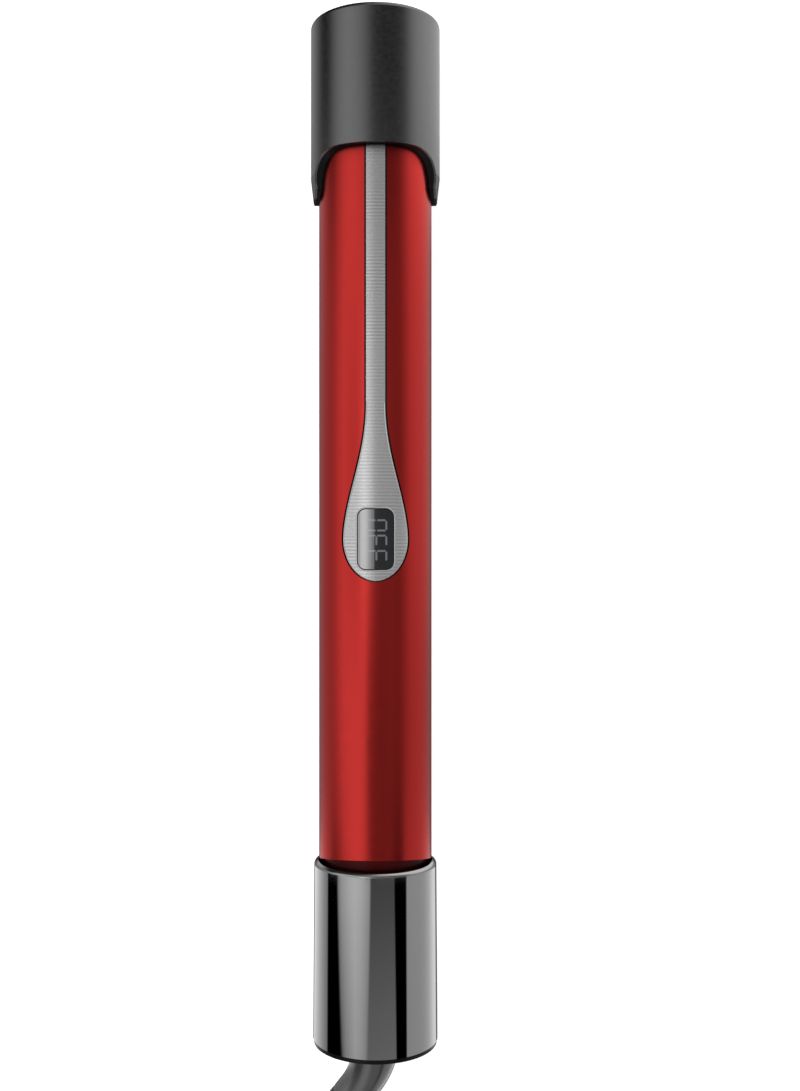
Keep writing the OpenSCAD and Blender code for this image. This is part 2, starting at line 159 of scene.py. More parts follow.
def wrap(name, outlines, radius):
    """Flat outlines (x, s), laid on the barrel at a radius in millimetres, cut finely across."""
    bm = bmesh.new()
    for outline in outlines:
        bm.faces.new([bm.verts.new((x, s, 0)) for x, s in outline])
    reach = max(abs(v.co.x) for v in bm.verts)
    step = 0.3
    cuts = int(reach / step)
    for i in range(-cuts, cuts + 1):
        bmesh.ops.bisect_plane(bm, geom=bm.verts[:] + bm.edges[:] + bm.faces[:],
                               plane_co=(i * step, 0, 0), plane_no=(1, 0, 0))
    for v in bm.verts:
        v.co = at(v.co.x, v.co.y, math.sqrt(radius**2 - v.co.x**2))
    bmesh.ops.recalc_face_normals(bm, faces=bm.faces)
    mesh = bpy.data.meshes.new(name)
    bm.to_mesh(mesh)
    bm.free()
    mesh.shade_smooth()
    mesh.set_sharp_from_angle(angle=math.radians(40))
    return bpy.data.objects.new(name, mesh)


# ---- cord --------------------------------------------------------------------------------------

CORD_R = 2.8
CORD_D = 2 * CORD_R
HANK_BASE = 0.8                       # the hank rests on its tie
LANE_1 = 3 * CORD_D                   # bend radius of the inner turns
LANE_2 = LANE_1 + CORD_D              # and of the outer turns
HANK_Y = -66                          # where the runs start
HANK_RUN = 84
BOOT_L = 32
BOOT_R = 6.75                         # the boot's radius where it leaves the iron
BOOT_END_R = 3.5                      # and at its thin end
BOOT_BEND_R = 21.7
BOOT_BEND = math.radians(41)
AXIS_MM = AXIS_Z / MM
LEAD = [(-16.1, -26.7, 10.7), (-18.5, -29.9, 9.4), (-20.3, -33.5, 8.1), (-21.8, -38.3, 6.6),
        (-22.4, -43.6, 5.2), (-22.4, -50.2, 4.1), (-22.4, -57.2, 3.6), (-22.4, -66, 3.6)]
TAIL = [(-16.8, -66, 20.4), (-16.2, -72.3, 20.6), (-14.7, -78.6, 21.2), (-12.5, -84.9, 22),
        (-10.3, -91.1, 22.9), (-8.1, -97.4, 23.6), (-6.6, -103.7, 24.2), (-6, -110, 24.4)]


def boot_point(p):
    """The boot's centre line at p from the base: an arc to the side, then straight, while it sinks."""
    a = min(p / BOOT_BEND_R, BOOT_BEND)
    rest = max(0, p - BOOT_BEND_R * BOOT_BEND)
    drop = (AXIS_MM - HANK_BASE - CORD_R) * ease(p / BOOT_L / 2)
    return behind(-BOOT_BEND_R * (1 - math.cos(a)) - rest * math.sin(BOOT_BEND),
                  -BOOT_BEND_R * math.sin(a) - rest * math.cos(BOOT_BEND), AXIS_MM - drop)


def smooth_route(points, parts=6):
    """More points on a smooth curve through the given ones."""
    out = []
    for i in range(len(points) - 1):
        a, b = points[max(i - 1, 0)], points[i]
        c, d = points[i + 1], points[min(i + 2, len(points) - 1)]
        for k in range(parts):
            t = k / parts
            out.append(0.5 * (2 * b + (c - a) * t + (2 * a - 5 * b + 4 * c - d) * t**2
                              + (3 * b - a - 3 * c + d) * t**3))
    return out + [points[-1]]


def hank_lanes():
    """Bend radius and height of each turn, and of the cord as it leaves the last one."""
    z = [HANK_BASE + CORD_R + i * CORD_D for i in range(4)]
    return [(LANE_2, z[0]), (LANE_1, z[0]), (LANE_1, z[1]), (LANE_2, z[1]), (LANE_2, z[2]),
            (LANE_1, z[2]), (LANE_1, z[3])]


# How far each turn swings aside as it changes lanes, so that the turns pass round each other.
SWING = [-1.6, -4.0, -1.6, 0.8, -1.6, -4.0]


def crossing(turn, t):
    """Across and above, where a turn changes to the next one's lane along the right-hand run."""
    lanes = hank_lanes()
    (r0, z0), (r1, z1) = lanes[turn], lanes[turn + 1]
    return r0 + (r1 - r0) * ease(t) + SWING[turn] * math.sin(math.pi * t)**2, z0 + (z1 - z0) * ease(t)


# How many parts the straight runs, the crossing runs and the bends are drawn in.
RUN_PARTS = 6
CROSS_PARTS = 16
BEND_PARTS = 20


def hank_points():
    """The centre line of the wound cord, turn by turn."""
    lanes = hank_lanes()
    far = HANK_Y - HANK_RUN
    out = []
    for turn in range(len(lanes) - 1):
        r, z = lanes[turn]
        out += [behind(-r, HANK_Y - HANK_RUN * i / RUN_PARTS, z) for i in range(RUN_PARTS)]
        for i in range(BEND_PARTS + 1):
            a = math.pi * (1 + i / BEND_PARTS)
            out.append(behind(r * math.cos(a), far + r * math.sin(a), z))
        for i in range(1, CROSS_PARTS):
            x, up = crossing(turn, i / CROSS_PARTS)
            out.append(behind(x, far + HANK_RUN * i / CROSS_PARTS, up))
        r, z = lanes[turn + 1]
        for i in range(BEND_PARTS):
            a = math.pi * i / BEND_PARTS
            out.append(behind(r * math.cos(a), HANK_Y + r * math.sin(a), z))
    return out


def make_cord(material):
    lead = smooth_route([boot_point(BOOT_L)] + [behind(*p) for p in LEAD[1:]])
    tail = smooth_route([behind(*p) for p in TAIL])
    route = lead[:-1] + hank_points() + tail
    cord = curve_object("mains_cord", route, CORD_R * MM)
    finish_piece(cord, "cord", material, ("cord_lead", "cord_hank", "cord_tail"))
    return cord, route


BOOT_GROOVES = (0.62, 0.7, 0.78, 0.86)
BOOT_LIP = 0.93                       # where the lip at the thin end begins, as a share of the length
BOOT_LIP_R = 3.8
BOOT_ROUND = 0.985                    # and where it is rounded off
GROOVE_DEPTH = 0.55
GROOVE_HALF = 0.42


def boot_radius(t):
    """A straight taper with four flex grooves near the thin end, and a lip."""
    r = BOOT_R + (BOOT_END_R - BOOT_R) * t
    r -= 0.5 * max(0, 1 - t * BOOT_L / 0.7)**2
    for groove in BOOT_GROOVES:
        r -= GROOVE_DEPTH * math.exp(-(((t - groove) * BOOT_L / GROOVE_HALF)**4))
    if t > BOOT_LIP:
        r = max(r, BOOT_LIP_R)
    if t > BOOT_ROUND:
        r -= 0.45 * (t - BOOT_ROUND) / (1 - BOOT_ROUND)
    return r


def make_boot(material):
    steps = 150
    share = [i / steps for i in range(steps + 1)]
    rings = tube_rings([boot_point(t * BOOT_L) for t in share], [boot_radius(t) * MM for t in share], 56)
    boot = loft("strain_relief_boot", rings, 60)
    return finish_piece(boot, "cord", material, ("cord_boot",))


def hull_2d(points):
    """The convex outline round points, counter-clockwise."""
    points = sorted(points)

    def half(run):
        out = []
        for p in run:
            while len(out) > 1:
                (ax, ay), (bx, by) = out[-2], out[-1]
                if (bx - ax) * (p[1] - ay) - (by - ay) * (p[0] - ax) > 0:
                    break
                out.pop()
            out.append(p)
        return out[:-1]

    return half(points) + half(points[::-1])


STRAP_OFF = 0.45                      # from the cord's skin to the middle of the strap
STRAP_TOP = 18.5                      # where the strap's run over the top of the turns begins
STRAP_STEP = 1.5
STRAP_HALF = 0.32                     # half the strap's thickness
TAB_HALF = 0.26                       # and half the loose end's
TAB_LIFT = 0.62                       # how far the loose end lies above the middle of the strap
TAB_FROM, TAB_TO = -11, 20.5          # where the loose end lies, across
# The strap's section with its corners cut, across its thickness and its width.
STRAP_SECTION = [(-1, -0.75), (-0.75, -1), (0.75, -1), (1, -0.75),
                 (1, 0.75), (0.75, 1), (-0.75, 1), (-1, 0.75)]


def make_tie(route, material):
    """A woven strap drawn tight round the turns, with its loose end lying on top."""
    y = (TIE[0].y + TIE[1].y) / 2
    crossings = []
    for a, b in zip(route, route[1:]):
        if (a.y - y) * (b.y - y) < 0 and a.y < BASE_Y + HANK_Y * MM + 0.001:
            p = a.lerp(b, (y - a.y) / (b.y - a.y))
            crossings.append((p.x / MM, p.z / MM))
    turn = [2 * math.pi * i / 24 for i in range(24)]
    rim = CORD_R + STRAP_OFF
    outline = hull_2d([(x + rim * math.cos(a), max(z + rim * math.sin(a), 0.4))
                       for x, z in crossings for a in turn])
    ring = [Vector((x, z)) for x, z in outline]
    half_w = (TIE[1].y - TIE[0].y) / 2

    def band(name, middle, closed, half_thick, width):
        rings = []
        count = len(middle)
        for i, m in enumerate(middle):
            before = middle[(i - 1) % count] if closed or i else m
            after = middle[(i + 1) % count] if closed or i < count - 1 else m
            along = (after - before).normalized()
            out = Vector((along.y, -along.x))
            section = []
            for u, w in STRAP_SECTION:
                p = m + out * (half_thick * u)
                section.append(Vector((p.x * MM, y + width * w, p.y * MM)))
            rings.append(section)
        sides = len(STRAP_SECTION)
        points = [p for r in rings for p in r]
        faces = []
        for i in range(count if closed else count - 1):
            n = (i + 1) % count
            for k in range(sides):
                j = (k + 1) % sides
                faces.append((i * sides + k, i * sides + j, n * sides + j, n * sides + k))
        if not closed:
            faces.append(tuple(range(sides)))
            faces.append(tuple(range((count - 1) * sides, count * sides)))
        return mesh_object(name, points, faces, sharp_deg=50)

    dense = []
    for i, p in enumerate(ring):
        n = ring[(i + 1) % len(ring)]
        parts = max(1, int((n - p).length / STRAP_STEP))
        dense += [p.lerp(n, k / parts) for k in range(parts)]
    strap = band("tie_strap", dense, True, STRAP_HALF, half_w * 0.98)
    finish_piece(strap, "cord", material, ("cord_tie",))
    top = [p for p in dense if p.y > STRAP_TOP]
    top.sort(key=lambda p: -p.x)
    lifted = [p + Vector((0, TAB_LIFT)) for p in top if TAB_FROM < p.x < TAB_TO]
    tab = band("tie_strap_end", lifted, False, TAB_HALF, half_w * 0.86)
    finish_piece(tab, "cord", material)
    return [strap, tab]


# ---- plug --------------------------------------------------------------------------------------

def plug_ring(d, half_w, half_t, power):
    """A rounded section of the plug, d millimetres from its face towards the cord."""
    cx = (PLUG[0].x + PLUG[1].x) / 2
    cz = (PLUG[0].z + PLUG[1].z) / 2
    out = []
    for k in range(64):
        a = 2 * math.pi * k / 64
        c, s = math.cos(a), math.sin(a)
        x = half_w * math.copysign(abs(c)**(2 / power), c)
        z = half_t * math.copysign(abs(s)**(2 / power), s)
        out.append(Vector((cx + x * MM, PLUG[0].y + d * MM, cz + z * MM)))
    return out


PLUG_HEAD = 9                         # the straight part behind the plug's face
PLUG_WAIST = 26                       # where the body has narrowed to its sleeve
PLUG_END = 36
SLEEVE_R = 5.0                        # the sleeve's radius at the body
SLEEVE_END_R = 3.55                   # and at the cord
SLEEVE_GROOVES = (28.2, 30.4, 32.6)
SLEEVE_ROUND = 35.3                   # where the sleeve's end is rounded off
HEAD_SQUARE = 3.4                     # the power of the rounded section's outline; 2 is an ellipse
HEAD_TAPER = 0.03


def plug_profile(d):
    """Half width, half thickness and squareness of the plug's section."""
    w = (PLUG[1].x - PLUG[0].x) / 2 / MM
    t = (PLUG[1].z - PLUG[0].z) / 2 / MM
    if d < PLUG_HEAD:
        edge = 0.7 * max(0, 1 - d / 0.8)**2
        return w - edge - HEAD_TAPER * d, t - edge, HEAD_SQUARE
    if d < PLUG_WAIST:
        k = (d - PLUG_HEAD) / (PLUG_WAIST - PLUG_HEAD)
        start = w - HEAD_TAPER * PLUG_HEAD
        waist = start + (5.6 - start) * ease(min(1, k * 1.02))
        return waist, t + (SLEEVE_R - t) * ease(k), HEAD_SQUARE + (2 - HEAD_SQUARE) * k
    r = SLEEVE_R + (SLEEVE_END_R - SLEEVE_R) * (d - PLUG_WAIST) / (PLUG_END - PLUG_WAIST)
    for groove in SLEEVE_GROOVES:
        r -= 0.6 * math.exp(-(((d - groove) / 0.5)**4))
    if d > SLEEVE_ROUND:
        r -= 0.35 * (d - SLEEVE_ROUND)
    return r + 0.2 * max(0, 1 - (d - PLUG_WAIST)), r, 2.0


def make_plug(material):
    steps = [0.08 * i for i in range(11)] + [0.9 + 0.3 * i for i in range(118)]
    steps = [d for d in steps if d < PLUG_END] + [PLUG_END]
    rings = [plug_ring(d, *plug_profile(d)) for d in steps]
    body = loft("plug_shell", rings, 50)
    return finish_piece(body, "cord", material, ("plug_body",))


# ---- display -----------------------------------------------------------------------------------

DIGIT_W = 3.2
DIGIT_H = 5.75
STROKE = 0.5
DISPLAY_S = (WINDOW[0].y + WINDOW[1].y) / 2 / MM - BASE_Y / MM
DIGIT_X = 0.2                         # the figures' place on the window, across and along
DIGIT_S = -0.4
DIGIT_PITCH = 4.05
FIGURE_LIFT = 0.015                   # how far the figures stand above the window
SEGMENTS = {"0": "abcdef", "F": "aefg"}


def segment_outline(which):
    """One bar of a figure, as (right, up) points about the figure's middle."""
    w = DIGIT_W / 2 - STROKE / 2
    h = DIGIT_H / 2 - STROKE / 2
    ends = {"a": ((-w, h), (w, h)), "d": ((-w, -h), (w, -h)), "g": ((-w, 0), (w, 0)),
            "b": ((w, 0), (w, h)), "c": ((w, -h), (w, 0)),
            "e": ((-w, -h), (-w, 0)), "f": ((-w, 0), (-w, h))}
    (x0, y0), (x1, y1) = ends[which]
    gap = 0.1
    half = STROKE / 2
    if y0 == y1:
        return [(x0 + gap, y0), (x0 + gap + half, y0 + half), (x1 - gap - half, y0 + half), (x1 - gap, y0),
                (x1 - gap - half, y0 - half), (x0 + gap + half, y0 - half)]
    return [(x0, y0 + gap), (x0 + half, y0 + gap + half), (x0 + half, y1 - gap - half), (x0, y1 - gap),
            (x0 - half, y1 - gap - half), (x0 - half, y0 + gap + half)]


def make_figures(lit):
    """Three seven-segment figures, read from the tip towards the cord, their tops to the right."""
    figures = []
    for i, figure in enumerate("0FF"):
        s = DISPLAY_S + (1 - i) * DIGIT_PITCH + DIGIT_S
        outlines = [[(DIGIT_X + v, s - u) for u, v in segment_outline(k)] for k in SEGMENTS[figure]]
        piece = wrap(f"figure_{i + 1}", outlines, BARREL_R / MM + FIGURE_LIFT)
        figures.append(finish_piece(piece, "upper_arm", lit))
    return figures


def rounded_outline(half_x, half_s, corner, parts=8):
    """Points round a rounded rectangle (x, s) about the display's middle."""
    out = []
    for quarter, (cx, cs) in enumerate(((1, 1), (-1, 1), (-1, -1), (1, -1))):
        for i in range(parts + 1):
            a = math.pi / 2 * (quarter + i / parts)
            out.append((cx * (half_x - corner) + corner * math.cos(a),
                        cs * (half_s - corner) + corner * math.sin(a)))
    return out


BEAD_STEP = 0.6


def edge_bead(name, outline, radius, material, closed):
    """A bright bead along an outline (x, s) on the barrel."""
    r = BARREL_R / MM - 0.5 * radius
    dense = []
    for (x, s), (nx, ns) in zip(outline, outline[1:] + outline[:1]):
        parts = max(1, int(math.hypot(nx - x, ns - s) / BEAD_STEP))
        dense += [(x + (nx - x) * k / parts, s + (ns - s) * k / parts) for k in range(parts)]
    if not closed:
        dense = dense[:dense.index(outline[-1]) + 1]
    points = [at(x, s, math.sqrt(r**2 - x**2)) for x, s in dense]
    bead = curve_object(name, points, radius * MM, 4, closed)
    finish_piece(bead, "upper_arm", material)


def make_bezel(bright, black):
    """The bright edge round the window, with a thin black bead inside it as painted shadow in the gap
    between window and inlay.
    """
    half_x = (WINDOW[1].x - WINDOW[0].x) / 2 / MM
    half_s = (WINDOW[1].y - WINDOW[0].y) / 2 / MM
    corner = 2.2
    # the thin black bead is painted shadow standing in for the dark gap at the window's edge
    beads = (("window_bezel", 0.3, 0.19, bright), ("window_seal", 0.02, 0.14, black))
    for name, grow, radius, material in beads:
        rim = rounded_outline(half_x + grow, half_s + grow, corner + grow)
        outline = [(x, DISPLAY_S + s) for x, s in rim]
        edge_bead(name, outline, radius, material, True)


def make_inlay_edge(material):
    """The polished edge of the inlay, along the rim of its face."""
    rim = {}
    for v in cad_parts["inlay"].data.vertices:
        s = round((v.co.y - BASE_Y) / MM, 2)
        if math.hypot(v.co.x, v.co.z - AXIS_Z) > BARREL_R - 0.02 * MM:
            rim[s] = max(rim.get(s, 0), abs(v.co.x) / MM)
    inside = [s for s in rim if abs(s - DISPLAY_S) < (WINDOW[1].y - WINDOW[0].y) / 2 / MM + 0.5]
    for s in inside:
        if rim[s] < (WINDOW[1].x - WINDOW[0].x) / 2 / MM + 1:
            del rim[s]
    half = [(max(x - 0.16, 0), s) for s, x in sorted(rim.items()) if s < max(rim) - 0.1]
    edge_bead("inlay_edge", [(-x, s) for x, s in half[::-1]] + half[1:], 0.18, material, False)


# ---- marks on the buttons ----------------------------------------------------------------------

def bar(cx, cy, half_x, half_y):
    return [(cx - half_x, cy - half_y), (cx + half_x, cy - half_y),
            (cx + half_x, cy + half_y), (cx - half_x, cy + half_y)]


def arc_band(r, width, start, end, parts=20):
    turn = [math.radians(start + (end - start) * i / parts) for i in range(parts + 1)]
    quads = []
    for a, b in zip(turn, turn[1:]):
        quads.append([(r * math.sin(a), r * math.cos(a)), (r * math.sin(b), r * math.cos(b)),
                      ((r + width) * math.sin(b), (r + width) * math.cos(b)),
                      ((r + width) * math.sin(a), (r + width) * math.cos(a))])
    return quads


def make_mark(node, name, outlines, material):
    """A raised mark on the face of a button, which looks down from the upper arm."""
    lo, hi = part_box(node)
    cx, cy = (lo.x + hi.x) / 2, (lo.y + hi.y) / 2
    points, faces = [], []
    for outline in outlines:
        n = len(outline)
        first = len(points)
        points += [Vector((cx + x * MM, cy + y * MM, lo.z + 0.02 * MM)) for x, y in outline]
        points += [Vector((cx + x * MM, cy + y * MM, lo.z - 0.05 * MM)) for x, y in outline]
        faces.append(tuple(range(first, first + n)))
        faces.append(tuple(range(first + n, first + 2 * n)))
        faces += [(first + k, first + (k + 1) % n, first + n + (k + 1) % n, first + n + k)
                  for k in range(n)]
    finish_piece(mesh_object(name, points, faces, smooth=False), node, material)


def make_marks(material):
    make_mark("minus_button", "mark_minus", [bar(0, 0, 1.4, 0.25)], material)
    plus = [bar(0, 0, 1.4, 0.25), bar(0, 0.85, 0.25, 0.6), bar(0, -0.85, 0.25, 0.6)]
    make_mark("plus_button", "mark_plus", plus, material)
    power = arc_band(1.2, 0.4, 40, 320) + [bar(0, 1.05, 0.22, 0.75)]
    make_mark("power_button", "mark_power", power, material)


# ---- materials ---------------------------------------------------------------------------------

def math_node(tree, kind, a, b=None, clamp=False):
    """The result of a sum on one or two values, each given as a number or as an output."""
    node = tree.nodes.new("ShaderNodeMath")
    node.operation = kind
    node.use_clamp = clamp
    for socket, value in zip(node.inputs, (a, b)):
        if value is None:
            continue
        if isinstance(value, (int, float)):
            socket.default_value = value
        else:
            tree.links.new(value, socket)
    return node.outputs["Value"]


class Paint:
    """A principled material with helpers for the nodes that give it its detail."""

    def __init__(self, name, color, rough, metallic=0.0, **sockets):
        self.mat = bpy.data.materials.new(name)
        self.mat.use_nodes = True
        self.nodes = self.mat.node_tree.nodes
        self.links = self.mat.node_tree.links
        self.shader = self.nodes["Principled BSDF"]
        self.color = color
        self.set(base_color=(*color, 1), roughness=rough, metallic=metallic, **sockets)
        self.coords = self.nodes.new("ShaderNodeTexCoord").outputs["Object"]

    def set(self, **sockets):
        named = {s.name.lower().replace(" ", "_"): s for s in self.shader.inputs}
        for key, value in sockets.items():
            named[key].default_value = value

    def link(self, output, node, socket):
        self.links.new(output, node.inputs[socket])

    def stretched(self, scale):
        node = self.nodes.new("ShaderNodeMapping")
        node.inputs["Scale"].default_value = scale
        self.link(self.coords, node, "Vector")
        return node.outputs["Vector"]

    def noise(self, scale, detail=2.0, where=None):
        node = self.nodes.new("ShaderNodeTexNoise")
        node.inputs["Scale"].default_value = scale
        node.inputs["Detail"].default_value = detail
        self.link(where or self.coords, node, "Vector")
        return node.outputs["Fac"]

    def wave(self, direction, scale, distortion=0.0):
        node = self.nodes.new("ShaderNodeTexWave")
        node.bands_direction = direction
        node.inputs["Scale"].default_value = scale
        node.inputs["Distortion"].default_value = distortion
        self.link(self.coords, node, "Vector")
        return node.outputs["Fac"]

    def span(self, value, low, high, to_low, to_high):
        node = self.nodes.new("ShaderNodeMapRange")
        for name, number in zip(("From Min", "From Max", "To Min", "To Max"), (low, high, to_low, to_high)):
            node.inputs[name].default_value = number
        self.link(value, node, "Value")
        return node.outputs["Result"]

    def math(self, kind, a, b):
        return math_node(self.mat.node_tree, kind, a, b)

    def mix(self, factor, a, b):
        """A colour between two colours, each given as three numbers or as an output."""
        node = self.nodes.new("ShaderNodeMix")
        node.data_type = "RGBA"
        self.links.new(factor, node.inputs["Factor"])
        for socket, value in ((node.inputs[6], a), (node.inputs[7], b)):
            if isinstance(value, tuple):
                socket.default_value = (*value, 1)
            else:
                self.links.new(value, socket)
        return node.outputs[2]

    def tint(self, factor, low, high):
        """The base colour, varied between low and high times itself."""
        a = tuple(c * low for c in self.color)
        b = tuple(min(1, c * high) for c in self.color)
        return self.mix(factor, a, b)

    def paint(self, output):
        self.link(output, self.shader, "Base Color")

    def painted_contact_shade(self, output, reach):
        """Painted shade: a colour that darkens, by ambient occlusion, within reach of the pieces that stand
        over the surface.
        """
        near = self.nodes.new("ShaderNodeAmbientOcclusion")
        near.samples = 8
        near.inputs["Distance"].default_value = reach
        # painted shade: the colour mixes towards near black where the ambient occlusion finds pieces close
        return self.mix(self.span(near.outputs["AO"], 0.5, 0.93, 0, 1), (0.004, 0.003, 0.003), output)

    def rough(self, output):
        self.link(output, self.shader, "Roughness")

    def bump(self, height, distance, strength=1.0):
        node = self.nodes.new("ShaderNodeBump")
        node.inputs["Distance"].default_value = distance
        node.inputs["Strength"].default_value = strength
        self.link(height, node, "Height")
        self.link(node.outputs["Normal"], self.shader, "Normal")

    def radius(self):
        """Distance from the iron's axis, in metres."""
        split = self.nodes.new("ShaderNodeSeparateXYZ")
        self.link(self.coords, split, "Vector")
        up = self.math("SUBTRACT", split.outputs["Z"], AXIS_Z)
        square = self.math("ADD", self.math("MULTIPLY", split.outputs["X"], split.outputs["X"]),
                           self.math("MULTIPLY", up, up))
        return math_node(self.mat.node_tree, "SQRT", square)

    def axis(self, letter):
        split = self.nodes.new("ShaderNodeSeparateXYZ")
        self.link(self.coords, split, "Vector")
        return split.outputs[letter]


def plain(name, color, rough, metallic=0.0, grain=2500, depth=0.01, vary=0.12, **sockets):
    """A moulded or metal finish: slight mottling, uneven gloss and a fine grain."""
    p = Paint(name, color, rough, metallic, **sockets)
    cloud = p.noise(grain / 12, 3)
    p.paint(p.tint(cloud, 1 - vary, 1 + vary))
    p.rough(p.span(p.noise(grain / 5, 2), 0.3, 0.7, rough * 0.85, min(1, rough * 1.15)))
    p.bump(p.noise(grain, 2), depth * MM)
    return p.mat


def red_shell():
    """Satin red skin with a fine metallic grain and painted shade where the tip and other pieces stand over
    it; its cut edges and inside are black.
    """
    p = Paint("red_satin_metal", (0.92, 0.047, 0.04), 0.24, 1.0, coat_weight=0.3, coat_roughness=0.22)
    skin = p.span(p.radius(), BARREL_R - 0.30 * MM, BARREL_R - 0.16 * MM, 0, 1)
    flake = p.noise(9000, 2)
    # painted shade on the red within 5 mm of the pieces that stand over it, such as the tip's mouth
    p.paint(p.mix(skin, (0.012, 0.012, 0.013), p.painted_contact_shade(p.tint(flake, 0.93, 1.06), 5 * MM)))
    p.link(skin, p.shader, "Metallic")
    p.rough(p.span(p.noise(300, 3), 0.3, 0.7, 0.22, 0.27))
    p.bump(p.noise(7000, 2), 0.0016 * MM)
    return p.mat


def frame_plastic():
    """Black plastic; where the neck runs into the collar, a painted reflection of the red shell that
    darkens into painted shadow at the collar's rim.
    """
    p = Paint("frame_plastic", (0.011, 0.011, 0.012), 0.3, specular_ior_level=0.12)
    y = p.axis("Y")
    rim = COLLAR[1].y
    # painted reflection and shadow on the neck: dark red from 3.2 mm above the collar's rim, near black at
    # the rim, plain black plastic again from 9 mm above it
    painted_neck_reflection_and_shadow = p.mix(p.span(y, rim - 0.5 * MM, rim + 3.2 * MM, 0, 1),
                  (0.003, 0.0005, 0.0005), (0.08, 0.003, 0.004))
    p.paint(p.mix(p.span(y, rim + 8 * MM, rim + 9 * MM, 0, 1), painted_neck_reflection_and_shadow, p.tint(p.noise(200, 3), 0.88, 1.12)))
    p.rough(p.span(p.noise(500, 2), 0.3, 0.7, 0.25, 0.35))
    p.bump(p.noise(2500, 2), 0.004 * MM)
    return p.mat


def cool_tip():
    """Dark grey metallic paint outside, with a soft sheen; black where the wall is cut and inside."""
    p = Paint("cool_tip_grey", (0.25, 0.25, 0.252), 0.24, 1.0, specular_ior_level=0.15)
    y = p.axis("Y")
    outside = p.span(y, TIP[0].y, TIP[0].y + 6.4 * MM, TIP_R - 0.85 * MM, TIP_R)
    skin = p.span(p.math("SUBTRACT", p.radius(), outside), -0.5 * MM, -0.36 * MM, 0, 1)
    end = p.span(y, TIP[1].y - 1.3 * MM, TIP[1].y - 1.1 * MM, 0, 1)
    skin = p.math("MAXIMUM", skin, end)
    p.paint(p.mix(skin, (0.008, 0.008, 0.008), p.tint(p.noise(6000, 2), 0.86, 1.12)))
    p.link(skin, p.shader, "Metallic")
    p.rough(p.span(p.noise(900, 3), 0.3, 0.7, 0.22, 0.27))
    p.bump(p.noise(5000, 3), 0.003 * MM)
    return p.mat


def black_chrome():
    """Dark mirror plating, a little uneven and hazed here and there."""
    p = Paint("black_chrome", (0.55, 0.55, 0.555), 0.03, 1.0)
    p.paint(p.tint(p.noise(120, 3), 0.97, 1.03))
    p.rough(p.span(p.noise(260, 4), 0.35, 0.75, 0.022, 0.05))
    p.bump(p.noise(90, 1), 0.002 * MM)
    return p.mat


LINE_SCALE = 349                      # how closely the inlay's machined lines follow each other


def brushed_silver():
    """Metal machined across the strip: fine lines along X that come and go, over finer brushing, with
    painted shade within reach of the pieces that stand over it.
    """
    p = Paint("brushed_silver", (0.95, 0.95, 0.96), 0.25, 0.78)
    brushing = p.noise(1, 3, p.stretched((60, 9000, 60)))
    wave = p.wave("Y", LINE_SCALE)
    patches = p.span(p.noise(1, 1, p.stretched((5, 90, 5))), 0.4, 0.62, 0.15, 1)
    lines = p.math("MULTIPLY", p.math("SUBTRACT", wave, 0.5), patches)
    surface = p.math("ADD", p.math("MULTIPLY", brushing, 0.06), p.math("MULTIPLY", lines, 0.6))
    # painted shade on the strip within 4 mm of the pieces that stand over it
    p.paint(p.painted_contact_shade(p.tint(p.math("ADD", surface, 0.55), 0.55, 1.2), 4 * MM))
    p.rough(p.span(brushing, 0.3, 0.7, 0.24, 0.28))
    p.bump(surface, 0.002 * MM)
    return p.mat


def dark_glass():
    """Polished dark window."""
    p = Paint("dark_window", (0.006, 0.0065, 0.0075), 0.04, specular_ior_level=1.0)
    p.paint(p.tint(p.noise(200, 2), 0.85, 1.2))
    p.rough(p.span(p.noise(400, 3), 0.3, 0.7, 0.03, 0.06))
    return p.mat


def figure_grey():
    """Faintly lit segments just under the glass."""
    p = Paint("figure_grey", (0.02, 0.02, 0.022), 0.05, specular_ior_level=0.7,
              emission_color=(0.6, 0.62, 0.63, 1), emission_strength=0.19)
    p.paint(p.tint(p.noise(2500, 2), 0.9, 1.1))
    return p.mat


def circuit_board():
    """Green solder mask over faint tracks."""
    p = Paint("circuit_board", (0.012, 0.1, 0.045), 0.35)
    tracks = p.noise(1, 0, p.stretched((1400, 180, 300)))
    p.paint(p.mix(p.span(tracks, 0.5, 0.54, 0, 1), (0.01, 0.085, 0.038), (0.03, 0.16, 0.07)))
    p.bump(tracks, 0.03 * MM)
    return p.mat


def brushed(name, color, rough, scale=(200, 4000, 200)):
    p = Paint(name, color, rough, 1.0)
    lines = p.noise(1, 3, p.stretched(scale))
    p.paint(p.tint(lines, 0.85, 1.12))
    p.rough(p.span(lines, 0.3, 0.7, rough * 0.8, rough * 1.3))
    p.bump(lines, 0.004 * MM)
    return p.mat


def plate_coating():
    """Polished coated metal, with the faint lengthwise rub of hair."""
    p = Paint("plate_coating", (0.36, 0.33, 0.32), 0.18, 1.0)
    rub = p.noise(1, 3, p.stretched((2500, 60, 2500)))
    p.paint(p.tint(rub, 0.88, 1.12))
    p.rough(p.span(rub, 0.3, 0.7, 0.14, 0.25))
    p.bump(p.noise(4000, 2), 0.001 * MM)
    return p.mat


def cord_rubber():
    """Satin grey rubber with a fine moulded texture."""
    p = Paint("cord_rubber", (0.05, 0.05, 0.052), 0.3, specular_ior_level=1.0,
              coat_weight=1.0, coat_ior=2.1, coat_roughness=0.2)
    p.paint(p.tint(p.noise(160, 3), 0.9, 1.1))
    p.rough(p.span(p.noise(1200, 3), 0.3, 0.7, 0.27, 0.34))
    p.bump(p.noise(3500, 3), 0.006 * MM)
    return p.mat


def woven_strap():
    """Black woven hook-and-loop tape."""
    p = Paint("woven_strap", (0.02, 0.02, 0.022), 0.85, sheen_weight=0.4, sheen_roughness=0.4)
    weave = p.math("MULTIPLY", p.wave("Y", 500, 1.5), p.wave("X", 350, 1.5))
    p.paint(p.tint(weave, 0.6, 2.2))
    p.bump(weave, 0.08 * MM)
    return p.mat


